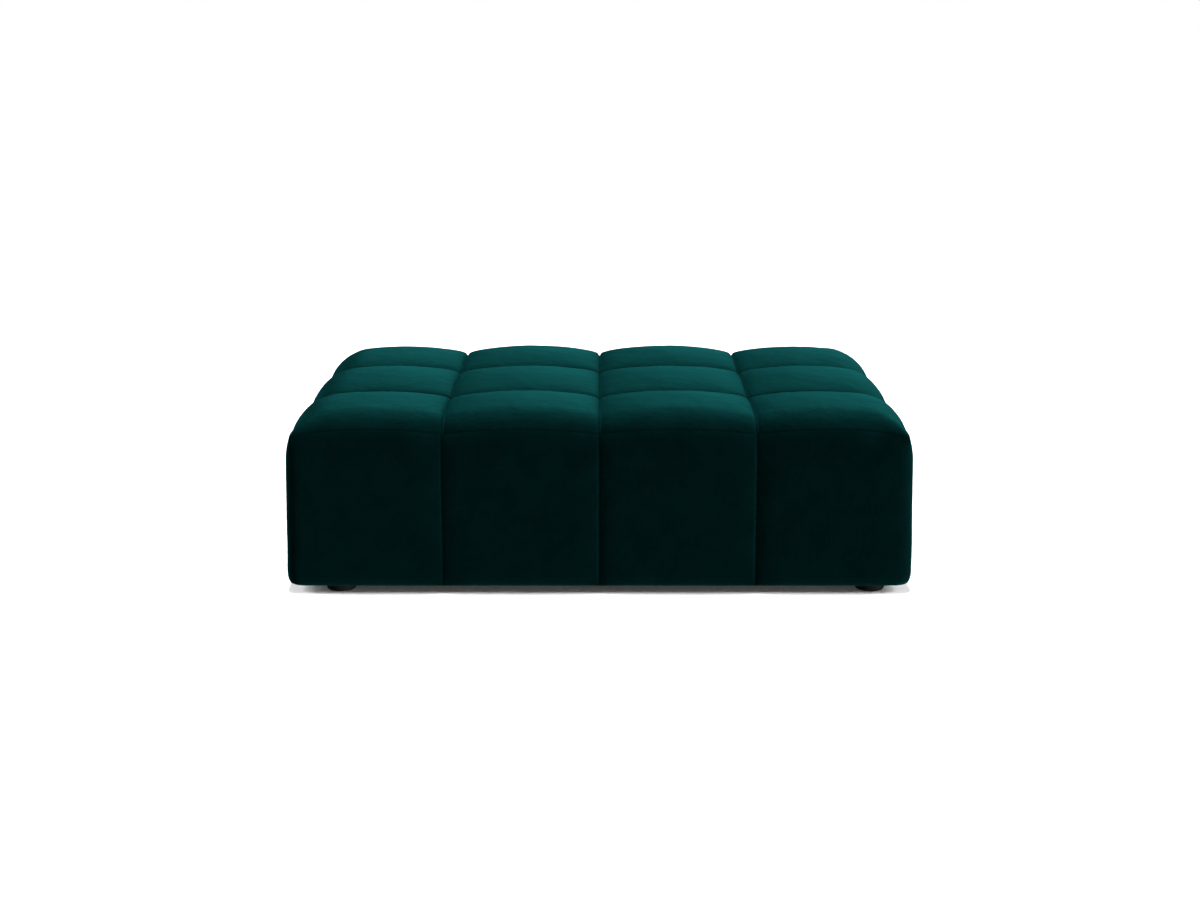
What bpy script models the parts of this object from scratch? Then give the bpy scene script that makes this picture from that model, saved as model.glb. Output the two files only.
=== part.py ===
"""A low rectangular pouf in velvet, its top quilted into puffed squares.

The pieces are one filled deck, an upright padded panel for every square along the four sides, and
four glide feet. Metres, +Z up. The origin is on the floor, under the middle of the pouf; the long
side lies along X and the front faces -Y.
"""

import math
from collections import namedtuple

import bmesh
import bpy
from mathutils import Vector

# The whole pouf
WIDTH = 1.449  # over the crowns of the left and right panels
DEPTH = 1.045  # over the crowns of the front and back panels
HEIGHT = 0.430  # from the floor to the crest of an inner square
UNDERSIDE = 0.018  # the cloth's lowest level, which the feet lift off the floor
COLUMNS = 4
ROWS = 3
COLUMN_PITCH = 0.360  # between the seams that run from front to back
ROW_PITCH = 0.350  # between the seams that run from left to right

# The net of seams, drawn down into channels
SEAM_HEIGHT = 0.393  # where two seams cross
EDGE_RADIUS = 0.088  # how the seams turn from the top down the sides
SIDE_CROWN = 0.010  # how far a panel swells past its seams
SEAM_BOW = 0.015  # how far a seam rises between two crossings
RIM_BOW = 0.022  # the same along the rim, where the deck meets the panels
SEAM_POWER = 0.75  # below 1, a square's side stands steep out of a channel
RIM_POWER = 1.0  # the rim seam is shallow
OUTER_COLUMN_DROP = 0.004  # the outer columns' crests lie a little lower
CORNER_POWER = 3.0  # how two falls join at a corner: 1 adds them up, more keeps the rim level
CORNER_OUT = 0.018  # how much further out the rim stands at a corner, both ways

# The upright panels
PANEL_DEPTH = 0.050  # from the crown to the flat back
CROWN_POWER = 2.5  # a panel's crown across its width: 2 is an ellipse, more is flatter
CORNER_RADIUS = 0.036  # of the upright corners, seen from above
CORNER_SAG = 0.001  # how much a crown has fallen where such a corner begins, at the floor
SAG_RISE = 0.018  # and how much more it has for each metre above it
HEM_DRAW = 0.009  # the bottom edge is drawn in at the corners, and runs straight between them
HEM_REACH = 0.034  # over this height
LEDGE_HEIGHT = 0.345  # the back edge of a panel's top, under the deck's rim

# Glide feet
FOOT_RADIUS = 0.0335
FOOT_FACE_RADIUS = 0.030  # the flat that stands on the floor
FOOT_EDGE = 0.006  # height of the rounded edge
FOOT_FROM_FRONT = 0.055  # centre of a foot behind the crown of the front
FOOT_FROM_LEFT = 0.124
FOOT_FROM_RIGHT = 0.095
FOOT_SIDES = 32
FOOT_EDGE_STEPS = 4

# Fineness, and the clearance between pieces that touch
SQUARE_STEPS = 10  # facets across one square or panel
ARC_STEPS = 4  # facets down a panel, over the turned edge
WALL_STEPS = 3  # down its upright part
HEM_STEPS = 3  # round its bottom edge
GAP = 0.0003
RIM_GAP = 0.0005  # down the slope of the rim seam, which leaves GAP square to it

ARC_LENGTH = EDGE_RADIUS * math.pi / 4  # the rim seam lies halfway round the edge

# One direction of the seams' net: its squares, their pitch, and half the outline of the channels
Axis = namedtuple("Axis", "count pitch half")
COLUMN_AXIS = Axis(COLUMNS, COLUMN_PITCH, WIDTH / 2 - SIDE_CROWN)
ROW_AXIS = Axis(ROWS, ROW_PITCH, DEPTH / 2 - SIDE_CROWN)

# Each side of the pouf: its name, the axis along it, the axis across it, its turn from the front
SIDES = (
    ("front", COLUMN_AXIS, ROW_AXIS, 0),
    ("right", ROW_AXIS, COLUMN_AXIS, 90),
    ("back", COLUMN_AXIS, ROW_AXIS, 180),
    ("left", ROW_AXIS, COLUMN_AXIS, 270),
)


def clear_scene():
    for item in list(bpy.data.objects):
        bpy.data.objects.remove(item, do_unlink=True)


def material(name, colour, roughness, sheen=0.0):
    made = bpy.data.materials.new(name)
    made.use_nodes = True
    shader = made.node_tree.nodes["Principled BSDF"]
    shader.inputs["Base Color"].default_value = (*colour, 1.0)
    shader.inputs["Roughness"].default_value = roughness
    shader.inputs["Metallic"].default_value = 0.0
    shader.inputs["Sheen Weight"].default_value = sheen
    made.diffuse_color = (*colour, 1.0)
    return made


def add_object(name, mesh_data, finish, parent, turn=0.0, place=(0.0, 0.0, 0.0)):
    """Closes the bmesh into a named object under the given empty."""
    bmesh.ops.recalc_face_normals(mesh_data, faces=mesh_data.faces)
    mesh = bpy.data.meshes.new(name)
    mesh_data.to_mesh(mesh)
    mesh_data.free()
    mesh.shade_smooth()
    mesh.set_sharp_from_angle(angle=math.radians(35))
    mesh.materials.append(finish)
    item = bpy.data.objects.new(name, mesh)
    item.location = place
    item.rotation_euler = (0.0, 0.0, math.radians(turn))
    item.parent = parent
    bpy.context.collection.objects.link(item)
    return item


def stations(steps):
    """Places across a square, from -1 to 1, closer together at the seams."""
    return [math.sin(math.pi * (k / steps - 0.5)) for k in range(steps + 1)]


def seam_lines(axis):
    """Where seams lie, as lengths of cloth from the middle, with the rim seams at both ends."""
    rim = axis.half - EDGE_RADIUS + ARC_LENGTH
    inner = [(k - axis.count / 2) * axis.pitch for k in range(1, axis.count)]
    return [-rim, *inner, rim]


def over_the_edge(length, half):
    """Follows the seams' level outwards: place, drop below the top, and the surface's lean."""
    lean = max(abs(length) - (half - EDGE_RADIUS), 0.0) / EDGE_RADIUS
    place = min(abs(length), half - EDGE_RADIUS) + EDGE_RADIUS * math.sin(lean)
    drop = EDGE_RADIUS * (1 - math.cos(lean))
    return math.copysign(place, length), drop, math.copysign(lean, length)


def blend(start, end, across):
    """A value that goes from start to end as across goes from -1 to 1."""
    return start + (end - start) * (across + 1) / 2


def smooth_step(t):
    t = min(max(t, 0.0), 1.0)
    return t * t * (3 - 2 * t)


def ends(axis, index, at_rim, inside):
    """A value at a square's two ends, which differ where one of them is the rim."""
    first = at_rim if index == 0 else inside
    last = at_rim if index == axis.count - 1 else inside
    return first, last


def across_square(axis, index, t):
    """What a point of a square takes from one axis, with t from -1 to 1 between its seams."""
    seams = seam_lines(axis)
    place, drop, lean = over_the_edge(blend(seams[index], seams[index + 1], t), axis.half)
    power = blend(*ends(axis, index, RIM_POWER, SEAM_POWER), t)
    swell = max(1 - t * t, 0.0) ** power
    bow = blend(*ends(axis, index, RIM_BOW, SEAM_BOW), t)
    return place, drop, lean, swell, bow


def corner_nearness(lean):
    """0 where the top is level, 1 at the rim seam."""
    return smooth_step(abs(lean) / (math.pi / 4))


def corner_drop(drop_x, drop_y):
    """Joins the falls over two edges, and says how much of each one's slope still counts."""
    drop = (drop_x**CORNER_POWER + drop_y**CORNER_POWER) ** (1 / CORNER_POWER)
    if drop == 0.0:
        return 0.0, 1.0, 1.0
    rest = CORNER_POWER - 1
    return drop, (drop_x / drop) ** rest, (drop_y / drop) ** rest


def quilted_point(first, i, u, second, j, v):
    """A point of the quilted top: u across square i of the first axis, v across j of the second."""
    x, drop_x, lean_x, swell_u, bow_u = across_square(first, i, u)
    y, drop_y, lean_y, swell_v, bow_v = across_square(second, j, v)
    corner = CORNER_OUT * corner_nearness(lean_x) * corner_nearness(lean_y)
    x += math.copysign(corner, x)
    y += math.copysign(corner, y)
    crest = HEIGHT - SEAM_HEIGHT
    if first is COLUMN_AXIS and i in (0, COLUMNS - 1):
        crest -= OUTER_COLUMN_DROP
    channel = swell_v * bow_u * (1 - swell_u) + swell_u * bow_v * (1 - swell_v)
    puff = channel + crest * swell_u * swell_v
    drop, share_x, share_y = corner_drop(drop_x, drop_y)
    slope_x = math.tan(lean_x) * share_x
    slope_y = math.tan(lean_y) * share_y
    steepness = math.hypot(slope_x, slope_y, 1.0)
    return (
        x + puff * slope_x / steepness,
        y + puff * slope_y / steepness,
        SEAM_HEIGHT - drop + puff / steepness,
    )


def fan(mesh_data, border, first, last):
    """Triangles between a curved border and the straight edge from first to last."""
    middle = len(border) // 2
    for k, (a, b) in enumerate(zip(border, border[1:])):
        mesh_data.faces.new((first if k < middle else last, a, b))
    mesh_data.faces.new((first, border[middle], last))


def deck():
    """The filled body: the quilted top, a ledge in from its rim, plain walls and underside."""
    mesh_data = bmesh.new()
    spots = stations(SQUARE_STEPS)
    columns = [(i, u) for i in range(COLUMNS) for u in spots[:-1]] + [(COLUMNS - 1, 1.0)]
    rows = [(j, v) for j in range(ROWS) for v in spots[:-1]] + [(ROWS - 1, 1.0)]
    top = []
    for i, u in columns:
        points = [quilted_point(COLUMN_AXIS, i, u, ROW_AXIS, j, v) for j, v in rows]
        top.append([mesh_data.verts.new(point) for point in points])
    for left, right in zip(top, top[1:]):
        for k in range(len(rows) - 1):
            mesh_data.faces.new((left[k], right[k], right[k + 1], left[k + 1]))

    wall_x = WIDTH / 2 - PANEL_DEPTH - GAP
    wall_y = DEPTH / 2 - PANEL_DEPTH - GAP
    corners = [(-wall_x, -wall_y), (wall_x, -wall_y), (wall_x, wall_y), (-wall_x, wall_y)]
    ledge = [mesh_data.verts.new((x, y, LEDGE_HEIGHT)) for x, y in corners]
    floor = [mesh_data.verts.new((x, y, UNDERSIDE)) for x, y in corners]
    rims = (
        [line[0] for line in top],
        top[-1],
        [line[-1] for line in reversed(top)],
        top[0][::-1],
    )
    for k, rim in enumerate(rims):
        start, end = ledge[k], ledge[(k + 1) % 4]
        inner = [start]
        for rim_point in rim[1:-1]:
            x = min(max(rim_point.co.x, -wall_x), wall_x) if k % 2 == 0 else start.co.x
            y = start.co.y if k % 2 == 0 else min(max(rim_point.co.y, -wall_y), wall_y)
            inner.append(mesh_data.verts.new((x, y, LEDGE_HEIGHT)))
        inner.append(end)
        for j in range(len(rim) - 1):
            mesh_data.faces.new((rim[j], rim[j + 1], inner[j + 1], inner[j]))
        fan(mesh_data, inner, floor[k], floor[(k + 1) % 4])
    mesh_data.faces.new(floor)
    return mesh_data


def panel_levels():
    """Lengths of cloth down a panel from the rim seam, closer together where it turns."""
    wall = SEAM_HEIGHT - EDGE_RADIUS - UNDERSIDE - HEM_REACH
    arc = [ARC_LENGTH * k / ARC_STEPS for k in range(ARC_STEPS)]
    upright = [ARC_LENGTH + wall * k / WALL_STEPS for k in range(WALL_STEPS)]
    hem = [
        ARC_LENGTH + wall + HEM_REACH * math.sin(math.pi / 2 * k / HEM_STEPS)
        for k in range(HEM_STEPS + 1)
    ]
    return [RIM_GAP, *arc[1:], *upright, *hem]


def blend_inset(inset, corner_inset, lean_along):
    """How far the seams' level lies inside the outline, which changes towards a corner."""
    return inset + (corner_inset - inset) * corner_nearness(lean_along)


def corner_fall(u, half, sag):
    """How far a panel's face falls below its crown, towards an upright corner."""
    begins = CORNER_RADIUS * math.sqrt(0.5)
    into = max(begins - (1 - abs(u)) * half, 0.0)
    return sag * u * u + CORNER_RADIUS - math.sqrt(CORNER_RADIUS**2 - into**2)


def panel_point(along, across, index, u, length):
    """A point of a front panel's face: u across it, and a length of cloth down from the rim."""
    seams = seam_lines(along)
    lean = math.pi / 4 + min(length, ARC_LENGTH) / EDGE_RADIUS
    inset = EDGE_RADIUS * (1 - math.sin(lean))
    rim_inset = EDGE_RADIUS * (1 - math.sin(math.pi / 4))
    corner_inset = inset * (1 - CORNER_OUT / rim_inset)
    level = SEAM_HEIGHT - EDGE_RADIUS * (1 - math.cos(lean)) - max(length - ARC_LENGTH, 0.0)
    sag = CORNER_SAG + SAG_RISE * level
    corner_depth = CORNER_RADIUS * (1 - math.sqrt(0.5)) + sag
    corner_draw = (corner_depth - SIDE_CROWN) * (1 - inset / rim_inset)
    hem_part = max(1 - (level - UNDERSIDE) / HEM_REACH, 0.0)
    fullness = math.sqrt(max(1 - hem_part * hem_part, 0.0))
    hem = HEM_DRAW * (1 - fullness)
    corner = along.half - corner_inset - corner_draw - hem
    left = -corner if index == 0 else seams[index]
    right = corner if index == along.count - 1 else seams[index + 1]

    at_corner = (index == 0 and u < 0) or (index == along.count - 1 and u > 0)
    if at_corner:
        roll = 1 - corner_fall(u, (right - left) / 2, sag) / corner_depth
    else:
        roll = math.sqrt(max(1 - abs(u) ** CROWN_POWER, 0.0))
    settled = smooth_step(length / ARC_LENGTH)
    rim_bow = RIM_BOW * max(1 - u * u, 0.0) ** SEAM_POWER
    push = SIDE_CROWN * roll * settled * fullness + rim_bow * (1 - settled)
    draw = (corner_draw + hem) * (1 - roll) if at_corner else 0.0
    _, _, lean_along = over_the_edge(blend(seams[index], seams[index + 1], u), along.half)
    out = across.half - blend_inset(inset, corner_inset, lean_along) - draw
    return Vector(
        (
            blend(left, right, u),
            -out - push * math.sin(lean),
            level + push * math.cos(lean),
        )
    )


def panel(along, across, index):
    """One upright panel of a side whose face looks along -Y, its seams a gap apart."""
    mesh_data = bmesh.new()
    # A mitred corner end moves further, to leave the same gap square to the mitre
    pull = ends(along, index, GAP / math.sqrt(2), GAP / 2)
    face = []
    for length in panel_levels():
        line = []
        for u in stations(SQUARE_STEPS):
            rim = Vector(quilted_point(along, index, u, across, 0, -1.0))
            to_rim = rim - panel_point(along, across, index, u, 0.0)
            keep = 1 - smooth_step(length / ARC_LENGTH)
            point = panel_point(along, across, index, u, length) + to_rim * keep
            point.x += blend(pull[0], -pull[1], u)
            line.append(mesh_data.verts.new(point))
        face.append(line)
    for upper, lower in zip(face, face[1:]):
        for k in range(SQUARE_STEPS):
            mesh_data.faces.new((upper[k], lower[k], lower[k + 1], upper[k + 1]))

    seams = seam_lines(along)
    back_y = -(across.half + SIDE_CROWN - PANEL_DEPTH)
    back_corner = along.half + SIDE_CROWN - PANEL_DEPTH
    left = pull[0] + (-back_corner if index == 0 else seams[index])
    right = -pull[1] + (back_corner if index == along.count - 1 else seams[index + 1])
    ledge_level = LEDGE_HEIGHT - RIM_GAP
    low_left = mesh_data.verts.new((left, back_y, UNDERSIDE))
    low_right = mesh_data.verts.new((right, back_y, UNDERSIDE))
    ledge = [mesh_data.verts.new((left, back_y, ledge_level))]
    for rim_point in face[0][1:-1]:
        x = min(max(rim_point.co.x, left), right)
        ledge.append(mesh_data.verts.new((x, back_y, ledge_level)))
    ledge.append(mesh_data.verts.new((right, back_y, ledge_level)))
    for k in range(SQUARE_STEPS):
        mesh_data.faces.new((face[0][k], face[0][k + 1], ledge[k + 1], ledge[k]))
    fan(mesh_data, ledge, low_left, low_right)
    fan(mesh_data, face[-1], low_left, low_right)
    fan(mesh_data, [line[0] for line in face], ledge[0], low_left)
    fan(mesh_data, [line[-1] for line in face], ledge[-1], low_right)
    return mesh_data


def foot():
    """A turned disc: straight above, rounded below onto its flat face at z = 0."""
    edge = FOOT_RADIUS - FOOT_FACE_RADIUS
    profile = [(FOOT_RADIUS, UNDERSIDE - GAP)]
    for k in range(FOOT_EDGE_STEPS + 1):
        turn = math.pi / 2 * k / FOOT_EDGE_STEPS
        radius = FOOT_FACE_RADIUS + edge * math.cos(turn)
        profile.append((radius, FOOT_EDGE * (1 - math.sin(turn))))
    mesh_data = bmesh.new()
    rings = []
    for radius, level in profile:
        turns = [2 * math.pi * k / FOOT_SIDES for k in range(FOOT_SIDES)]
        rings.append(
            [
                mesh_data.verts.new((radius * math.cos(a), radius * math.sin(a), level))
                for a in turns
            ]
        )
    for upper, lower in zip(rings, rings[1:]):
        for k in range(FOOT_SIDES):
            after = (k + 1) % FOOT_SIDES
            mesh_data.faces.new((upper[k], lower[k], lower[after], upper[after]))
    mesh_data.faces.new(rings[0])
    mesh_data.faces.new(rings[-1])
    return mesh_data


def build():
    clear_scene()
    velvet = material("velvet", (0.004, 0.050, 0.052), roughness=0.85, sheen=0.6)
    plastic = material("glide_plastic", (0.012, 0.011, 0.010), roughness=0.45)
    pouf = bpy.data.objects.new("pouf", None)
    bpy.context.collection.objects.link(pouf)

    add_object("deck", deck(), velvet, pouf)
    for side, along, across, turn in SIDES:
        for index in range(along.count):
            name = f"{side}_panel_{index + 1}"
            add_object(name, panel(along, across, index), velvet, pouf, turn=turn)

    foot_y = DEPTH / 2 - FOOT_FROM_FRONT
    foot_places = {
        "foot_front_left": (FOOT_FROM_LEFT - WIDTH / 2, -foot_y, 0.0),
        "foot_front_right": (WIDTH / 2 - FOOT_FROM_RIGHT, -foot_y, 0.0),
        "foot_back_left": (FOOT_FROM_LEFT - WIDTH / 2, foot_y, 0.0),
        "foot_back_right": (WIDTH / 2 - FOOT_FROM_RIGHT, foot_y, 0.0),
    }
    for name, place in foot_places.items():
        add_object(name, foot(), plastic, pouf, place=place)


build()
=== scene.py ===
"""Looks of the rectangular tufted pouf: puffed velvet squares and panels, glide feet, floor, light.

Everything is in metres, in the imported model's own frame: +Z up, the front faces -Y.
"""

import math
from collections import namedtuple

import bmesh
import bpy
import numpy as np
from mathutils import Matrix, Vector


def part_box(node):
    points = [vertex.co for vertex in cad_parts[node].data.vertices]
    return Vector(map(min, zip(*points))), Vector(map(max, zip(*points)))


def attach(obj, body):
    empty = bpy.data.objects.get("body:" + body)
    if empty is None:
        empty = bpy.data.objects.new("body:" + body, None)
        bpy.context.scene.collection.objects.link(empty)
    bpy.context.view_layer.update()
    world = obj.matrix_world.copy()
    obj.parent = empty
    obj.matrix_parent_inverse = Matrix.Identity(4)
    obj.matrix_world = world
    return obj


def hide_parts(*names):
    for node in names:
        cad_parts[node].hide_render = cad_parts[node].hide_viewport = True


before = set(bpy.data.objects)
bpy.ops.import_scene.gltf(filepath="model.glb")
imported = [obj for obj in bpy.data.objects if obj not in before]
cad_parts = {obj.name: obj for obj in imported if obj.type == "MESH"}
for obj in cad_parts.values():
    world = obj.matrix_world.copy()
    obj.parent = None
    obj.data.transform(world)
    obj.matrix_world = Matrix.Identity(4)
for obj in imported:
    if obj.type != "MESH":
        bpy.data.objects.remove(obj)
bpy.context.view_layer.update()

# ---------------------------------------------------------------- sizes, as in the model's source
COLUMNS = 4
ROWS = 3
COLUMN_PITCH = 0.360
ROW_PITCH = 0.350
SEAM_HEIGHT = 0.393  # where two seams cross
EDGE_RADIUS = 0.088  # how the seams turn from the top down the sides
SIDE_CROWN = 0.010  # how far a panel swells past its seams
SEAM_BOW = 0.015  # how far a seam rises between two crossings
RIM_BOW = 0.022  # the same along the rim, where the deck meets the panels
SEAM_POWER = 0.75  # below 1, a square's side stands steep out of a channel
RIM_POWER = 1.0  # the rim seam is shallow
CORNER_SQUARE_DROP = 0.004  # the crests of the four corner squares lie a little lower
SIDE_FULLNESS = 0.0022  # the outer squares, but for the back ones, swell above the side rims
CROWN_POWER = 2.5  # a panel's crown across its width: 2 is a circle's arc, more is flatter
CORNER_POWER = 3.0  # how two falls join at a corner: 1 adds them up, more keeps the rim level
CORNER_OUT = 0.018  # how much further out the rim stands at a corner, both ways
CORNER_RADIUS = 0.036  # of the upright corners, seen from above
CORNER_SAG = 0.001  # how much a crown has fallen where such a corner begins, at the floor
SAG_RISE = 0.018  # and how much more it has for each metre above it
HEM_DRAW = 0.009  # the bottom edge is drawn in at the corners
HEM_REACH = 0.034  # over this height
GAP = 0.0003  # between pieces that touch

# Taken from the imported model
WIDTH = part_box("right_panel_2")[1].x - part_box("left_panel_2")[0].x
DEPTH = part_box("back_panel_2")[1].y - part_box("front_panel_2")[0].y
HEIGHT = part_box("deck")[1].z
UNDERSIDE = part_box("deck")[0].z
PANEL_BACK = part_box("front_panel_2")[1].y  # the flat back of the front panels, below zero
PANEL_DEPTH = PANEL_BACK + DEPTH / 2
ARC_LENGTH = EDGE_RADIUS * math.pi / 4
PANEL_LENGTH = ARC_LENGTH + SEAM_HEIGHT - EDGE_RADIUS - UNDERSIDE  # of cloth, rim seam to hem

# ---------------------------------------------------------------- sizes of what only shows here
RIM_GAP = 0.0003  # between the deck and a panel, down the slope of the rim seam
INNER_GAP = 0.0001  # between two panels of one side, whose cloth meets
PINCH_DEPTHS = (0.0036, 0.0025)  # how far the stitches draw in a panel's left and right edges
PINCH_REACH = 0.045  # over this distance on each side of a seam
SHOULDER_DEPTH = 0.005  # the right edge lies on the seam's allowance, and turns down steeply
SHOULDER_REACH = 0.0055
CHANNEL_PINCH = 0.0015  # the same beside the top's channels
CHANNEL_PINCH_REACH = 0.030
SEAM_DIP = 0.0055  # how far the cloth dives into a channel's seam
SEAM_DIP_REACH = 0.006  # over this distance on each side
VALLEY_POWER = 1.25  # 1 makes a seam's flanks straight, more hollows them
RIM_SLOPE = 0.8  # a panel leaves the rim at the top's own slope: 0 would crease there
RIM_DIP = 0.0010  # how far the top's edge dips to its rim seam
RIM_DIP_REACH = 0.003
RIM_SPOTS = (0.0, 0.0008, 0.002, 0.004, 0.007, 0.011)  # points' distances below the rim seam
HEM_LINE_SPOTS = (-0.005, -0.0025, -0.0012, 0.0, 0.0012, 0.0025, 0.005)  # round the stitching
HEM_SPOTS = (0.0075, 0.0052, 0.0033, 0.0018, 0.0008, 0.0002, 0.0)  # above the bottom edge
LEDGE_HEIGHT = 0.335  # the back edge of a panel's top, under the deck's rim
HEM_LINE = 0.015  # height of the hem's stitching above the bottom edge
HEM_LINE_DIP = 0.0005
HEM_LINE_REACH = 0.0025
HOLLOW_DEPTH = 0.0008  # of the filling's slow unevenness
HOLLOW_LENGTH = 0.16
CRUSH_DEPTH = 0.0030  # relief of the velvet's crushed and brushed patches
NAP_DEPTH = 0.0007
PILE_DEPTH = 0.00008
FOOT_RADIUS = 0.0335
FOOT_FACE_RADIUS = 0.030  # the flat that stands on the floor
FOOT_EDGE = 0.006  # height of the rounded edge
FOOT_LIP = 0.0015  # the small round where a foot meets the underside
FOOT_RECESS = 0.0008  # the sole is hollowed by this much
FOOT_SIDES = 56
SPOTS_AT_SEAM = (0.0, 0.0006, 0.0015, 0.003, 0.005, 0.0075, 0.011, 0.016, 0.022, 0.030, 0.040)
SPOT_PITCH = 0.0085  # between a mesh's points, away from the seams

# ---------------------------------------------------------------- the cloth simulation
CLOTH_PITCH = 0.0095  # between the points of the simulated cloth
CLOTH_FRAMES = 20
CLOTH_PRESSURE = 4.0
CLOTH_TAKE_UP = -0.014  # how much longer the cloth is beside its seams than the surface
CLOTH_TAKE_UP_REACH = 0.110  # over this distance from a seam
FOLD_SIZE = 0.00022  # the folds' usual height on a square or panel
FOLD_LIMIT = 0.0007  # no fold stands higher or lower than this
SLOW_WAVES = 4  # swells of a patch with up to this many waves across are not folds

Axis = namedtuple("Axis", "count pitch half")
COLUMN_AXIS = Axis(COLUMNS, COLUMN_PITCH, WIDTH / 2 - SIDE_CROWN)
ROW_AXIS = Axis(ROWS, ROW_PITCH, DEPTH / 2 - SIDE_CROWN)
SIDES = (
    ("front", COLUMN_AXIS, ROW_AXIS, 0),
    ("right", ROW_AXIS, COLUMN_AXIS, 90),
    ("back", COLUMN_AXIS, ROW_AXIS, 180),
    ("left", ROW_AXIS, COLUMN_AXIS, 270),
)


# ---------------------------------------------------------------- small helpers
def smooth_step(t):
    """Goes from 0 to 1 as t does, level at both ends."""
    t = np.clip(t, 0.0, 1.0)
    return t * t * (3 - 2 * t)


def blend(start, end, t):
    """A value that goes from start to end as t goes from -1 to 1."""
    return start + (end - start) * (t + 1) / 2


def ends(axis, index, at_rim, inside):
    """The value at a square's two ends, which differ where one of them is the rim."""
    first = at_rim if index == 0 else inside
    last = at_rim if index == axis.count - 1 else inside
    return first, last


def ripples(x, y, seed, length, count=9):
    """A smooth random field of about unit height, from waves near the given length."""
    draw = np.random.default_rng(seed)
    total = np.zeros(np.broadcast(x, y).shape)
    for _ in range(count):
        angle = draw.uniform(0, 2 * math.pi)
        wave = 2 * math.pi / (length * draw.uniform(0.7, 1.5))
        phase = draw.uniform(0, 2 * math.pi)
        total += np.sin(wave * (x * math.cos(angle) + y * math.sin(angle)) + phase)
    return total * math.sqrt(2 / count) / 2


def valley(distance, depth, reach):
    """How deep a stitched channel is at this distance from its seam: two straight-ish flanks."""
    return depth * np.clip(1 - distance / reach, 0.0, 1.0) ** VALLEY_POWER


def pinched(distance, depth, reach):
    """How far the stitches draw cloth in at this distance from their seam, level at the end."""
    return depth * np.clip(1 - distance / reach, 0.0, 1.0) ** 2


def roll_in(distance, depth, reach):
    """How deep cloth has rolled into a seam at this distance from it."""
    near = np.clip(1 - distance / reach, 0.0, 1.0)
    return depth * (1 - np.sqrt(1 - near * near))


def seam_lines(axis):
    """Where seams lie, as lengths of cloth from the middle, with the rim seams at both ends."""
    rim = axis.half - EDGE_RADIUS + ARC_LENGTH
    inner = [(k - axis.count / 2) * axis.pitch for k in range(1, axis.count)]
    return [-rim, *inner, rim]


def square_spots(axis, index):
    """Places across a square, from -1 to 1: close together at the seams, even in between."""
    seams = seam_lines(axis)
    half = (seams[index + 1] - seams[index]) / 2
    last = SPOTS_AT_SEAM[-1]
    steps = round((half - last) / SPOT_PITCH)
    even = last + (half - last) * np.arange(1, steps + 1) / steps
    rise = np.concatenate([SPOTS_AT_SEAM, even]) / half - 1
    return np.concatenate([rise, -rise[-2::-1]])


def over_the_edge(length, half):
    """Follows the seams' level outwards: place, drop below the top, and the surface's lean."""
    lean = np.maximum(np.abs(length) - (half - EDGE_RADIUS), 0.0) / EDGE_RADIUS
    place = np.minimum(np.abs(length), half - EDGE_RADIUS) + EDGE_RADIUS * np.sin(lean)
    side = np.sign(length)
    return side * place, EDGE_RADIUS * (1 - np.cos(lean)), side * lean


def corner_drop(drop_a, drop_b):
    """Joins the falls over two edges, and says how much each one's slope still counts."""
    drop = (drop_a**CORNER_POWER + drop_b**CORNER_POWER) ** (1 / CORNER_POWER)
    safe = np.maximum(drop, 1e-9)
    share_a = np.where(drop > 1e-9, (drop_a / safe) ** (CORNER_POWER - 1), 1.0)
    share_b = np.where(drop > 1e-9, (drop_b / safe) ** (CORNER_POWER - 1), 1.0)
    return drop, share_a, share_b


def corner_nearness(lean):
    """0 where the top is level, 1 at the rim seam."""
    return smooth_step(np.abs(lean) / (math.pi / 4))


def above_the_rim(lean):
    """1 a little above the rim seam, 0 at the seam and where the top is level."""
    near = corner_nearness(lean)
    return 27 / 4 * near**2 * (1 - near)


# ---------------------------------------------------------------- the quilted top
Across = namedtuple("Across", "t place drop lean swell bow dip length")
FOLDS = {}  # what the simulation gives each square and panel, by name


def across_square(axis, index, t):
    """What points of a square take from one axis, with t from -1 to 1 between its seams."""
    seams = seam_lines(axis)
    length = blend(seams[index], seams[index + 1], t)
    place, drop, lean = over_the_edge(length, axis.half)
    power = blend(*ends(axis, index, RIM_POWER, SEAM_POWER), t)
    swell = np.maximum(1 - t * t, 0.0) ** power
    bow = blend(*ends(axis, index, RIM_BOW, SEAM_BOW), t)
    half = (seams[index + 1] - seams[index]) / 2
    depths = ends(axis, index, RIM_DIP, SEAM_DIP)
    reaches = ends(axis, index, RIM_DIP_REACH, SEAM_DIP_REACH)
    dip = valley((1 + t) * half, depths[0], reaches[0])
    dip = np.maximum(dip, valley((1 - t) * half, depths[1], reaches[1]))
    pinches = ends(axis, index, 0.0, CHANNEL_PINCH)
    dip = dip + pinched((1 + t) * half, pinches[0], CHANNEL_PINCH_REACH)
    dip = dip + pinched((1 - t) * half, pinches[1], CHANNEL_PINCH_REACH)
    return Across(t, place, drop, lean, swell, bow, dip, length)


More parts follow.
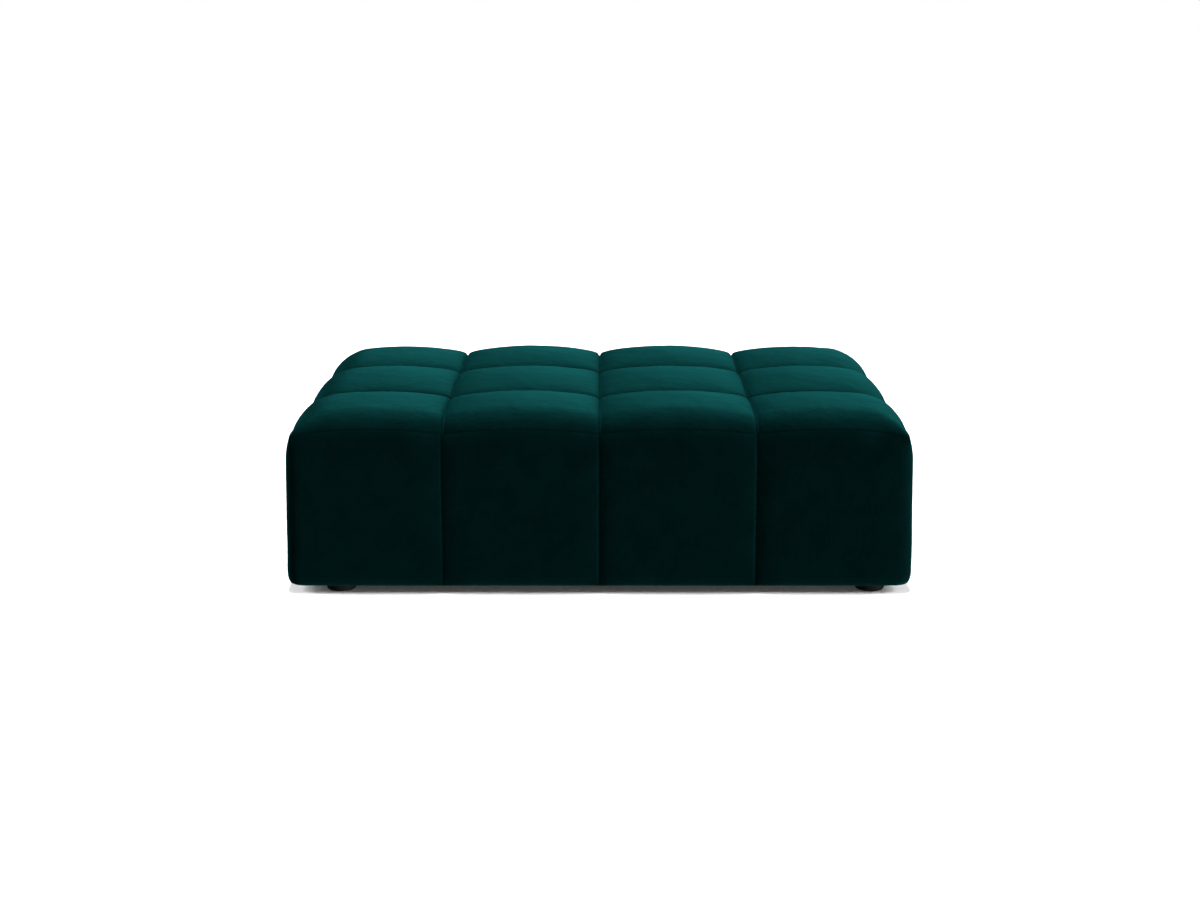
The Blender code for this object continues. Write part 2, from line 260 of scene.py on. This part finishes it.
def quilted_points(first, i, u, second, j, v, plain=False):
    """Points of the quilted top: u across square i of the first axis, v across j of the second."""
    a = across_square(first, i, u)
    b = across_square(second, j, v)
    drop, share_a, share_b = corner_drop(a.drop, b.drop)
    slope_a = np.tan(a.lean) * share_a
    slope_b = np.tan(b.lean) * share_b
    corner = CORNER_OUT * corner_nearness(a.lean) * corner_nearness(b.lean)
    crest = HEIGHT - SEAM_HEIGHT
    in_outer_column = first is COLUMN_AXIS and i in (0, COLUMNS - 1)
    if in_outer_column and j in (0, ROWS - 1):
        crest -= CORNER_SQUARE_DROP
    channel = b.swell * a.bow * (1 - a.swell) + a.swell * b.bow * (1 - b.swell)
    puff = channel + crest * a.swell * b.swell
    if in_outer_column and j < ROWS - 1:
        puff = puff + SIDE_FULLNESS * b.swell * above_the_rim(a.lean)
    if not plain:
        puff = puff + unevenness(a, b, i, j) - np.maximum(a.dip, b.dip)
    steepness = np.sqrt(slope_a**2 + slope_b**2 + 1)
    return np.stack(
        np.broadcast_arrays(
            a.place + np.sign(a.place) * corner + puff * slope_a / steepness,
            b.place + np.sign(b.place) * corner + puff * slope_b / steepness,
            SEAM_HEIGHT - drop + puff / steepness,
        ),
        axis=-1,
    )


def unevenness(a, b, i, j):
    """Soft hollows of the filling, and the simulated pull folds that run out of the seams."""
    inside = a.swell * b.swell
    broad = HOLLOW_DEPTH * inside * ripples(a.length, b.length, 100 + 10 * i + j, HOLLOW_LENGTH)
    return broad + folds(f"top_{i}_{j}", a.t.ravel(), b.t.ravel())


def grid_faces(rows, columns, offset=0):
    """Quads of a grid of points numbered row by row."""
    first = offset + np.arange(rows - 1)[:, None] * columns + np.arange(columns - 1)
    return np.stack([first, first + columns, first + columns + 1, first + 1], -1).reshape(-1, 4)


def fan(border, first, last):
    """Triangles between a curved border and the straight edge from first to last."""
    middle = len(border) // 2
    faces = [
        (first if k < middle else last, a, b) for k, (a, b) in enumerate(zip(border, border[1:]))
    ]
    return [*faces, (first, border[middle], last)]


def make_piece(name, points, faces, material, turn=0.0, rounded=None):
    """A closed mesh as an object; where rounded is given, only so many first faces are smooth."""
    mesh = bpy.data.meshes.new(name)
    mesh.from_pydata([tuple(p) for p in points], [], [tuple(map(int, f)) for f in faces])
    piece = bpy.data.objects.new(name, mesh)
    bpy.context.scene.collection.objects.link(piece)
    mesh.transform(Matrix.Rotation(math.radians(turn), 4, "Z"))
    work = bmesh.new()
    work.from_mesh(mesh)
    bmesh.ops.recalc_face_normals(work, faces=work.faces)
    for face in work.faces:
        face.smooth = rounded is None or face.index < rounded
    for edge in work.edges:
        edge.smooth = all(face.smooth for face in edge.link_faces)
    work.to_mesh(mesh)
    work.free()
    if rounded is None:
        mesh.set_sharp_from_angle(angle=math.radians(50))
    mesh.materials.append(material)
    return piece


def deck_piece(material):
    """The filled body: the quilted top, a ledge in from its rim, plain walls and underside."""
    columns = [(i, t) for i in range(COLUMNS) for t in square_spots(COLUMN_AXIS, i)[:-1]]
    columns.append((COLUMNS - 1, 1.0))
    rows = [(j, t) for j in range(ROWS) for t in square_spots(ROW_AXIS, j)[:-1]]
    rows.append((ROWS - 1, 1.0))
    top = np.zeros((len(columns), len(rows), 3))
    for i in range(COLUMNS):
        own_columns = [k for k, c in enumerate(columns) if c[0] == i]
        u = np.array([columns[k][1] for k in own_columns])[:, None]
        for j in range(ROWS):
            own_rows = [k for k, r in enumerate(rows) if r[0] == j]
            v = np.array([rows[k][1] for k in own_rows])[None, :]
            top[np.ix_(own_columns, own_rows)] = quilted_points(COLUMN_AXIS, i, u, ROW_AXIS, j, v)
    points = list(top.reshape(-1, 3))
    faces = list(grid_faces(len(columns), len(rows)))
    rounded = len(faces)
    number = np.arange(len(points)).reshape(len(columns), len(rows))

    wall_x = WIDTH / 2 - PANEL_DEPTH - GAP
    wall_y = DEPTH / 2 - PANEL_DEPTH - GAP
    corners = [(-wall_x, -wall_y), (wall_x, -wall_y), (wall_x, wall_y), (-wall_x, wall_y)]
    ledge = len(points)
    points += [(x, y, LEDGE_HEIGHT) for x, y in corners]
    floor = len(points)
    points += [(x, y, UNDERSIDE) for x, y in corners]
    rims = (number[:, 0], number[-1], number[::-1, -1], number[0, ::-1])
    for k, rim in enumerate(rims):
        inner = [ledge + k]
        for p in rim[1:-1]:
            x, y, _ = points[p]
            if k % 2 == 0:
                place = (min(max(x, -wall_x), wall_x), corners[k][1])
            else:
                place = (corners[k][0], min(max(y, -wall_y), wall_y))
            inner.append(len(points))
            points.append((*place, LEDGE_HEIGHT))
        inner.append(ledge + (k + 1) % 4)
        for m in range(len(rim) - 1):
            faces.append((rim[m], rim[m + 1], inner[m + 1], inner[m]))
        faces += fan(inner, floor + k, floor + (k + 1) % 4)
    faces.append([floor + k for k in range(4)])
    return make_piece("quilted_deck", points, faces, material, rounded=rounded)


# ---------------------------------------------------------------- folds from a cloth simulation
def cubic_weights(spots, count):
    """Rows that turn values on an even grid over -1 to 1 into values at the spots."""
    place = np.clip((spots + 1) / 2 * (count - 1), 0, count - 1 - 1e-9)
    base = np.floor(place).astype(int)
    f = place - base
    shares = (
        (-f + 2 * f**2 - f**3) / 2,
        (2 - 5 * f**2 + 3 * f**3) / 2,
        (f + 4 * f**2 - 3 * f**3) / 2,
        (-(f**2) + f**3) / 2,
    )
    weights = np.zeros((len(spots), count))
    for step, share in zip((-1, 0, 1, 2), shares):
        column = np.clip(base + step, 0, count - 1)
        np.add.at(weights, (np.arange(len(spots)), column), share)
    return weights


def folds(name, across, down):
    """The simulated folds of one square or panel, at these places over it, from -1 to 1."""
    heights = FOLDS.get(name)
    if heights is None:
        return np.zeros((len(across), len(down)))
    rows, columns = heights.shape
    return cubic_weights(across, rows) @ heights @ cubic_weights(down, columns).T


def cloth_patches():
    """A plain even grid of points over every square of the top and every panel."""
    patches = {}
    for i in range(COLUMNS):
        for j in range(ROWS):
            u = np.linspace(-1, 1, round(COLUMN_PITCH / CLOTH_PITCH))[:, None]
            v = np.linspace(-1, 1, round(ROW_PITCH / CLOTH_PITCH))[None, :]
            patches[f"top_{i}_{j}"] = quilted_points(COLUMN_AXIS, i, u, ROW_AXIS, j, v, plain=True)
    for side_number, (_, along, _, _) in enumerate(SIDES):
        for index in range(along.count):
            u = np.linspace(-1, 1, round(along.pitch / CLOTH_PITCH))[None, :]
            length = np.linspace(0, PANEL_LENGTH, round(PANEL_LENGTH / CLOTH_PITCH))[:, None]
            face = panel_face(side_number, index, u, length, plain=True)
            patches[f"side_{side_number}_{index}"] = face.swapaxes(0, 1)
    return patches


def outward(points):
    """Unit normals of a grid of points, which look away from the pouf's middle."""
    normal = np.cross(np.gradient(points, axis=0), np.gradient(points, axis=1))
    normal /= np.linalg.norm(normal, axis=-1, keepdims=True)
    away = points.mean(axis=(0, 1)) - np.array([0.0, 0.0, HEIGHT / 2])
    return normal * np.sign((normal * away).sum(axis=-1, keepdims=True))


def seam_distance(shape):
    """How far each point of a patch is from the seam nearest to it, in metres."""
    steps = [np.minimum(np.arange(n), n - 1 - np.arange(n)) * CLOTH_PITCH for n in shape]
    return np.minimum(steps[0][:, None], steps[1][None, :])


def work_cloth(patches):
    """One object with all the patches, pinned along the seams, a little slack beside them."""
    points = [grid.reshape(-1, 3) for grid in patches.values()]
    faces = []
    start = 0
    for grid in patches.values():
        faces += grid_faces(*grid.shape[:2], start).tolist()
        start += grid.shape[0] * grid.shape[1]
    mesh = bpy.data.meshes.new("work_cloth")
    mesh.from_pydata(np.concatenate(points).tolist(), [], faces)
    work = bpy.data.objects.new("work_cloth", mesh)
    bpy.context.scene.collection.objects.link(work)
    pinned = work.vertex_groups.new(name="pinned")
    taut = work.vertex_groups.new(name="taut")
    start = 0
    for number, grid in enumerate(patches.values()):
        distance = seam_distance(grid.shape[:2])
        at_seam = np.flatnonzero(distance.ravel() == 0) + start
        pinned.add(at_seam.tolist(), 1.0, "REPLACE")
        rows, columns = np.indices(distance.shape) * CLOTH_PITCH
        slack = np.clip(0.55 + 0.75 * ripples(rows, columns, 500 + number, 0.13), 0.0, 1.0)
        tautness = 1 - slack * (1 - smooth_step(distance / CLOTH_TAKE_UP_REACH))
        for k, weight in enumerate(tautness.ravel()):
            taut.add([start + k], float(weight), "REPLACE")
        start += distance.size
    return work


def simulate(work):
    """Presses air into the cloth for some frames and gives back where its points have gone."""
    cloth = work.modifiers.new("cloth", "CLOTH")
    settings = cloth.settings
    settings.quality = 5
    settings.mass = 0.3
    settings.tension_stiffness = 15
    settings.compression_stiffness = 15
    settings.shear_stiffness = 5
    settings.bending_stiffness = 0.8
    settings.vertex_group_mass = "pinned"
    settings.vertex_group_shrink = "taut"
    settings.shrink_min = CLOTH_TAKE_UP
    settings.shrink_max = 0.0
    settings.use_pressure = True
    settings.uniform_pressure_force = CLOTH_PRESSURE
    settings.use_pressure_volume = True
    settings.target_volume = 0.0
    settings.effector_weights.gravity = 0
    cloth.collision_settings.use_collision = False
    cloth.collision_settings.use_self_collision = False
    cloth.point_cache.frame_start = 1
    cloth.point_cache.frame_end = CLOTH_FRAMES
    scene = bpy.context.scene
    for number in range(1, CLOTH_FRAMES + 1):
        scene.frame_set(number)
    evaluated = work.evaluated_get(bpy.context.evaluated_depsgraph_get())
    mesh = evaluated.to_mesh()
    places = np.zeros(len(mesh.vertices) * 3, np.float32)
    mesh.vertices.foreach_get("co", places)
    evaluated.to_mesh_clear()
    bpy.data.objects.remove(work)
    scene.frame_set(1)
    return places.reshape(-1, 3).astype(float)


def slow_part(heights):
    """The smooth swelling of a patch: what a few broad waves across it can describe."""
    parts = heights
    for axis in (0, 1):
        spots = np.linspace(0, math.pi, parts.shape[axis])
        waves = np.stack([np.sin(k * spots) for k in range(1, SLOW_WAVES + 1)])
        share = np.tensordot(waves, parts, axes=(1, axis)) * 2 / (len(spots) - 1)
        parts = np.moveaxis(np.tensordot(waves.T, share, axes=(1, 0)), 0, axis)
    return parts


def simulate_folds():
    """Fills FOLDS with what the simulated cloth does beyond its smooth swelling."""
    patches = cloth_patches()
    places = simulate(work_cloth(patches))
    start = 0
    for name, grid in patches.items():
        count = grid.shape[0] * grid.shape[1]
        moved = places[start : start + count].reshape(grid.shape) - grid
        start += count
        heights = (moved * outward(grid)).sum(axis=-1)
        heights = heights - slow_part(heights)
        heights *= FOLD_SIZE / math.sqrt((heights**2).mean())
        FOLDS[name] = FOLD_LIMIT * np.tanh(heights / FOLD_LIMIT)


# ---------------------------------------------------------------- the upright panels
def panel_lengths():
    """Lengths of cloth down a panel from the rim seam, close together at the seam and the hem."""
    hem_line = PANEL_LENGTH - HEM_LINE
    near_rim = [RIM_GAP + s for s in RIM_SPOTS]
    near_hem = [hem_line + s for s in HEM_LINE_SPOTS]
    turned = [PANEL_LENGTH - s for s in HEM_SPOTS]
    start, end = near_rim[-1], near_hem[0]
    steps = round((end - start) / SPOT_PITCH)
    even = [start + (end - start) * k / steps for k in range(1, steps)]
    return np.array([*near_rim, *even, *near_hem, *turned])


def corner_fall(u, half, sag):
    """How far a panel's face falls below its crown, towards an upright corner."""
    begins = CORNER_RADIUS * math.sqrt(0.5)
    into = np.maximum(begins - (1 - np.abs(u)) * half, 0.0)
    return sag * u * u + CORNER_RADIUS - np.sqrt(CORNER_RADIUS**2 - into**2)


def panel_points(side_number, index, u, length, plain=False):
    """Points of a front panel's face: u across it, and a length of cloth down from the rim."""
    _, along, across, _ = SIDES[side_number]
    seams = seam_lines(along)
    lean = math.pi / 4 + np.minimum(length, ARC_LENGTH) / EDGE_RADIUS
    inset = EDGE_RADIUS * (1 - np.sin(lean))
    level = SEAM_HEIGHT - EDGE_RADIUS * (1 - np.cos(lean)) - np.maximum(length - ARC_LENGTH, 0.0)
    rim_inset = EDGE_RADIUS * (1 - math.sin(math.pi / 4))
    corner_inset = inset * (1 - CORNER_OUT / rim_inset)
    sag = CORNER_SAG + SAG_RISE * level
    corner_depth = CORNER_RADIUS * (1 - math.sqrt(0.5)) + sag
    corner_draw = (corner_depth - SIDE_CROWN) * (1 - inset / rim_inset)
    hem_part = np.clip(1 - (level - UNDERSIDE) / HEM_REACH, 0.0, 1.0)
    fullness = np.sqrt(1 - hem_part * hem_part)
    hem = HEM_DRAW * (1 - fullness)
    corner = along.half - corner_inset - corner_draw - hem
    left = -corner if index == 0 else seams[index]
    right = corner if index == along.count - 1 else seams[index + 1]

    at_corner = ((u < 0) & (index == 0)) | ((u > 0) & (index == along.count - 1))
    roll = np.sqrt(np.maximum(1 - np.abs(u) ** CROWN_POWER, 0.0))
    fall = corner_fall(u, (right - left) / 2, sag)
    roll = np.where(at_corner, 1 - fall / corner_depth, roll)
    down = np.clip(length / ARC_LENGTH, 0.0, 1.0)
    settled = smooth_step(down) + RIM_SLOPE * down * (1 - down) ** 2
    rim_bow = RIM_BOW * np.maximum(1 - u * u, 0.0) ** SEAM_POWER
    push = SIDE_CROWN * roll * settled * fullness + rim_bow * (1 - settled)
    if not plain:
        seed = 300 + 10 * index + along.count
        hollows = ripples(u * along.pitch / 2, level, seed + 100 * side_number, HOLLOW_LENGTH)
        push = push + HOLLOW_DEPTH * roll * settled * fullness * hollows
        share = length.ravel() / PANEL_LENGTH * 2 - 1
        push = push + folds(f"side_{side_number}_{index}", u.ravel(), share).T
        half = (seams[index + 1] - seams[index]) / 2
        aside = (1 - np.abs(u)) * half
        pinch = pinched(aside, np.where(u > 0, PINCH_DEPTHS[1], PINCH_DEPTHS[0]), PINCH_REACH)
        shoulder = SHOULDER_DEPTH * (1 - smooth_step(aside / SHOULDER_REACH))
        drawn_in = pinch + np.where(u > 0, shoulder, 0.0)
        push = push - np.where(at_corner, 0.0, drawn_in * fullness * settled)
        stitching = np.abs(level - UNDERSIDE - HEM_LINE)
        push = push - roll_in(stitching, HEM_LINE_DIP, HEM_LINE_REACH)
    draw = np.where(at_corner, (corner_draw + hem) * (1 - roll), 0.0)
    _, _, lean_along = over_the_edge(blend(seams[index], seams[index + 1], u), along.half)
    own_inset = inset + (corner_inset - inset) * corner_nearness(lean_along)
    out = across.half - own_inset - draw
    return np.stack(
        np.broadcast_arrays(
            blend(left, right, u),
            -out - push * np.sin(lean),
            level + push * np.cos(lean),
        ),
        axis=-1,
    )


def panel_face(side_number, index, u, length, plain=False):
    """A panel's face, its top edge brought onto the quilted top's rim."""
    _, along, across, _ = SIDES[side_number]
    rim = quilted_points(along, index, u, across, 0, np.array([[-1.0]]), plain=True)
    start = panel_points(side_number, index, u, np.array([[0.0]]), plain=True)
    keep = 1 - smooth_step(length / ARC_LENGTH)
    return panel_points(side_number, index, u, length, plain) + (rim - start) * keep[..., None]


def panel_piece(side_number, index, material):
    """One upright panel, its face looking along -Y before it is turned into place."""
    side, along, across, turn = SIDES[side_number]
    u = square_spots(along, index)[None, :]
    length = panel_lengths()[:, None]
    face = panel_face(side_number, index, u, length)
    pull = ends(along, index, GAP / math.sqrt(2), INNER_GAP / 2)
    face[..., 0] += blend(pull[0], -pull[1], u)
    rows, columns = face.shape[:2]
    points = list(face.reshape(-1, 3))
    faces = list(grid_faces(rows, columns))
    rounded = len(faces)
    number = np.arange(len(points)).reshape(rows, columns)

    seams = seam_lines(along)
    back_y = -(across.half + SIDE_CROWN - PANEL_DEPTH)
    back_corner = along.half + SIDE_CROWN - PANEL_DEPTH
    left = pull[0] + (-back_corner if index == 0 else seams[index])
    right = -pull[1] + (back_corner if index == along.count - 1 else seams[index + 1])
    ledge_level = LEDGE_HEIGHT - RIM_GAP
    low_left = len(points)
    points.append((left, back_y, UNDERSIDE))
    low_right = len(points)
    points.append((right, back_y, UNDERSIDE))
    ledge = []
    places = np.clip(face[0, :, 0], left, right)
    places[0], places[-1] = left, right
    for x in places:
        ledge.append(len(points))
        points.append((x, back_y, ledge_level))
    for k in range(columns - 1):
        faces.append((number[0, k], number[0, k + 1], ledge[k + 1], ledge[k]))
    faces += fan(ledge, low_left, low_right)
    faces += fan(number[-1], low_left, low_right)
    faces += fan(number[:, 0], ledge[0], low_left)
    faces += fan(number[:, -1], ledge[-1], low_right)
    return make_piece(f"{side}_pad_{index + 1}", points, faces, material, turn, rounded)


# ---------------------------------------------------------------- the glide feet
def foot_profile(top):
    """Radius and level down a foot, from the middle of its top to the middle of its sole."""
    points = [(0.0, top)]
    for k in range(5):
        turn = math.pi / 2 * k / 4
        radius = FOOT_RADIUS - FOOT_LIP * (1 - math.sin(turn))
        points.append((radius, top - FOOT_LIP * (1 - math.cos(turn))))
    for k in range(10):
        turn = math.pi / 2 * k / 9
        radius = FOOT_FACE_RADIUS + (FOOT_RADIUS - FOOT_FACE_RADIUS) * math.cos(turn)
        points.append((radius, FOOT_EDGE * (1 - math.sin(turn))))
    points.append((FOOT_FACE_RADIUS - 0.0040, 0.0))
    points.append((FOOT_FACE_RADIUS - 0.0050, FOOT_RECESS))
    points.append((0.0, FOOT_RECESS))
    return points


def foot_piece(node, material):
    """A turned foot in the place of its plain one."""
    low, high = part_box(node)
    middle_x = (low.x + high.x) / 2
    middle_y = (low.y + high.y) / 2
    profile = foot_profile(high.z)
    points = [(middle_x, middle_y, profile[0][1])]
    for radius, level in profile[1:-1]:
        for k in range(FOOT_SIDES):
            turn = 2 * math.pi * k / FOOT_SIDES
            points.append(
                (middle_x + radius * math.cos(turn), middle_y + radius * math.sin(turn), level)
            )
    points.append((middle_x, middle_y, profile[-1][1]))
    last = len(points) - 1
    rings = len(profile) - 2
    faces = []
    for k in range(FOOT_SIDES):
        after = (k + 1) % FOOT_SIDES
        faces.append((0, 1 + k, 1 + after))
        for ring in range(rings - 1):
            upper = 1 + ring * FOOT_SIDES
            lower = upper + FOOT_SIDES
            faces.append((upper + k, lower + k, lower + after, upper + after))
        bottom = 1 + (rings - 1) * FOOT_SIDES
        faces.append((bottom + after, bottom + k, last))
    return make_piece(node.replace("foot", "glide"), points, faces, material)


# ---------------------------------------------------------------- materials
def new_material(name):
    made = bpy.data.materials.new(name)
    made.use_nodes = True
    return made, made.node_tree.nodes, made.node_tree.links, made.node_tree.nodes["Principled BSDF"]


def add_noise(nodes, links, size, detail=2.0, roughness=0.5, stretch=(1, 1, 1)):
    """A noise texture in the pouf's own metres, whose blobs are about the given size."""
    place = nodes.new("ShaderNodeTexCoord")
    scale = nodes.new("ShaderNodeMapping")
    scale.inputs["Scale"].default_value = stretch
    noise = nodes.new("ShaderNodeTexNoise")
    noise.inputs["Scale"].default_value = 1 / size
    noise.inputs["Detail"].default_value = detail
    noise.inputs["Roughness"].default_value = roughness
    links.new(place.outputs["Object"], scale.inputs["Vector"])
    links.new(scale.outputs["Vector"], noise.inputs["Vector"])
    return noise.outputs["Fac"]


def add_ramp(nodes, links, value, low, high, start=0.3, end=0.7):
    """Turns a value into a colour between two."""
    ramp = nodes.new("ShaderNodeValToRGB")
    ramp.color_ramp.elements[0].position = start
    ramp.color_ramp.elements[1].position = end
    ramp.color_ramp.elements[0].color = (*low, 1)
    ramp.color_ramp.elements[1].color = (*high, 1)
    links.new(value, ramp.inputs["Fac"])
    return ramp.outputs["Color"]


def add_range(nodes, links, value, low, high, start=0.3, end=0.7):
    """Maps a value from one span onto another."""
    mapped = nodes.new("ShaderNodeMapRange")
    mapped.inputs["From Min"].default_value = start
    mapped.inputs["From Max"].default_value = end
    mapped.inputs["To Min"].default_value = low
    mapped.inputs["To Max"].default_value = high
    links.new(value, mapped.inputs["Value"])
    return mapped.outputs["Result"]


def add_bump(nodes, links, height, depth, before=None):
    """Relief of the given depth in metres, on top of the relief before it."""
    bump = nodes.new("ShaderNodeBump")
    bump.inputs["Strength"].default_value = 1.0
    bump.inputs["Distance"].default_value = depth
    links.new(height, bump.inputs["Height"])
    if before:
        links.new(before, bump.inputs["Normal"])
    return bump.outputs["Normal"]


def velvet():
    """Short dense pile: dark straight on, and a blue-green bloom at low angles."""
    made, nodes, links, shader = new_material("velvet_pile")
    shader.inputs["Specular IOR Level"].default_value = 0.0
    shader.inputs["Sheen Weight"].default_value = 1.0
    shader.inputs["Sheen Roughness"].default_value = 0.6
    shader.inputs["Sheen Tint"].default_value = (0.034, 0.50, 0.50, 1)

    crushed = add_noise(nodes, links, size=0.055, detail=3.0, roughness=0.55)
    nap = add_noise(nodes, links, size=0.014, detail=2.0, stretch=(1, 1, 0.6))
    pile = add_noise(nodes, links, size=0.0011, detail=1.0)
    dyed = add_ramp(nodes, links, crushed, (0.0003, 0.0020, 0.0024), (0.0014, 0.0135, 0.0137))
    tips = add_ramp(nodes, links, pile, (0.75, 0.75, 0.75), (1.25, 1.25, 1.25))
    both = nodes.new("ShaderNodeMix")
    both.data_type = "RGBA"
    both.blend_type = "MULTIPLY"
    both.inputs["Factor"].default_value = 1.0
    links.new(dyed, both.inputs["A"])
    links.new(tips, both.inputs["B"])
    links.new(both.outputs["Result"], shader.inputs["Base Color"])
    links.new(add_range(nodes, links, nap, 0.80, 0.96), shader.inputs["Roughness"])
    relief = add_bump(nodes, links, crushed, CRUSH_DEPTH)
    relief = add_bump(nodes, links, nap, NAP_DEPTH, relief)
    relief = add_bump(nodes, links, pile, PILE_DEPTH, relief)
    links.new(relief, shader.inputs["Normal"])
    made.diffuse_color = (0.004, 0.05, 0.052, 1)
    return made


def glide_plastic():
    """Moulded plastic: dark, half dull, with fine grain, scuffs and some dust."""
    made, nodes, links, shader = new_material("glide_plastic_moulded")
    grain = add_noise(nodes, links, size=0.0009, detail=2.0)
    scuffs = add_noise(nodes, links, size=0.012, detail=5.0, roughness=0.7, stretch=(1, 1, 3))
    colour = add_ramp(nodes, links, scuffs, (0.024, 0.021, 0.021), (0.042, 0.038, 0.037))
    links.new(colour, shader.inputs["Base Color"])
    links.new(add_range(nodes, links, scuffs, 0.38, 0.62), shader.inputs["Roughness"])
    relief = add_bump(nodes, links, grain, 0.00006)
    relief = add_bump(nodes, links, scuffs, 0.00010, relief)
    links.new(relief, shader.inputs["Normal"])
    return made


def floor_finish():
    """Plain pale studio floor, with a faint grain."""
    made, nodes, links, shader = new_material("studio_floor")
    grain = add_noise(nodes, links, size=0.004, detail=2.0)
    links.new(
        add_ramp(nodes, links, grain, (0.925, 0.925, 0.925), (0.935, 0.935, 0.935)),
        shader.inputs["Base Color"],
    )
    links.new(add_range(nodes, links, grain, 0.85, 0.95), shader.inputs["Roughness"])
    shader.inputs["Specular IOR Level"].default_value = 0.0
    shader.inputs["Emission Color"].default_value = (1, 1, 1, 1)
    shader.inputs["Emission Strength"].default_value = 0.03
    return made


# ---------------------------------------------------------------- the studio
def add_floor(material):
    """A wide floor at level 0, which throws no light back onto the pouf."""
    size = 40.0
    mesh = bpy.data.meshes.new("studio_floor")
    corners = [(-size, -size, 0), (size, -size, 0), (size, size, 0), (-size, size, 0)]
    mesh.from_pydata(corners, [], [(0, 1, 2, 3)])
    mesh.materials.append(material)
    floor = bpy.data.objects.new("studio_floor", mesh)
    floor.visible_diffuse = False
    floor.visible_glossy = False
    bpy.context.scene.collection.objects.link(floor)
    return floor


def add_sun(name, azimuth, elevation, strength, spread=30.0, only_for=None):
    """A distant soft light; azimuth 0 is on the right, and 90 is behind the pouf."""
    data = bpy.data.lights.new(name, "SUN")
    data.energy = strength
    data.angle = math.radians(spread)
    lamp = bpy.data.objects.new(name, data)
    lamp.rotation_euler = (0.0, math.radians(90 - elevation), math.radians(azimuth))
    bpy.context.scene.collection.objects.link(lamp)
    if only_for:
        lit = bpy.data.collections.new(f"lit_by_{name}")
        lit.objects.link(only_for)
        lamp.light_linking.receiver_collection = lit
    return lamp


def add_world(seen, light):
    """A plain surround: one brightness as the camera sees it, another as it lights the pouf."""
    world = bpy.data.worlds.new("studio")
    bpy.context.scene.world = world
    world.use_nodes = True
    nodes, links = world.node_tree.nodes, world.node_tree.links
    background = nodes["Background"]
    path = nodes.new("ShaderNodeLightPath")
    mix = nodes.new("ShaderNodeMix")
    mix.data_type = "FLOAT"
    links.new(path.outputs["Is Camera Ray"], mix.inputs["Factor"])
    mix.inputs[2].default_value = light
    mix.inputs[3].default_value = seen
    background.inputs["Color"].default_value = (1, 1, 1, 1)
    links.new(mix.outputs[0], background.inputs["Strength"])


def add_camera():
    """The photograph's angle: level across, from the front and somewhat above."""
    data = bpy.data.cameras.new("camera")
    data.sensor_width = 36.0
    data.lens = 58.45
    camera = bpy.data.objects.new("camera", data)
    camera.location = (0.0015, -4.836, 1.289)
    camera.rotation_euler = (math.radians(90 - 12.4), 0.0, 0.0)
    bpy.context.scene.collection.objects.link(camera)
    bpy.context.scene.camera = camera


# ---------------------------------------------------------------- the whole object
pile = velvet()
plastic = glide_plastic()
pieces = []
simulate_folds()
deck = deck_piece(pile)
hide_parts("deck")
pieces.append(deck)
for side_number, (side, along, _, _) in enumerate(SIDES):
    for index in range(along.count):
        pad = panel_piece(side_number, index, pile)
        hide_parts(f"{side}_panel_{index + 1}")
        pieces.append(pad)
for piece in pieces:
    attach(piece, "root")
for node in ("foot_front_left", "foot_front_right", "foot_back_left", "foot_back_right"):
    foot = foot_piece(node, plastic)
    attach(foot, "root")
    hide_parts(node)

floor = add_floor(floor_finish())
add_world(seen=1.0, light=0.012)
# The lamps' strengths were worked out together, from how bright each face of the pouf looks
add_sun("low_right", azimuth=-22, elevation=8, strength=0.98)
add_sun("low_behind", azimuth=68, elevation=8, strength=0.455)
add_sun("high_behind_left", azimuth=120, elevation=48, strength=0.235)
add_sun("high_behind", azimuth=90, elevation=48, strength=0.205)
add_sun("front_fill", azimuth=270, elevation=8, strength=0.19)
# These three light only the floor: they make it white, and shade it thinly round the pouf
add_sun("table_top", azimuth=90, elevation=88, strength=3.7, spread=5, only_for=floor)
add_sun("under_left", azimuth=180, elevation=24, strength=5.0, spread=32, only_for=floor)
add_sun("under_right", azimuth=0, elevation=24, strength=5.0, spread=32, only_for=floor)
add_camera()
bpy.context.scene.view_settings.view_transform = "Standard"
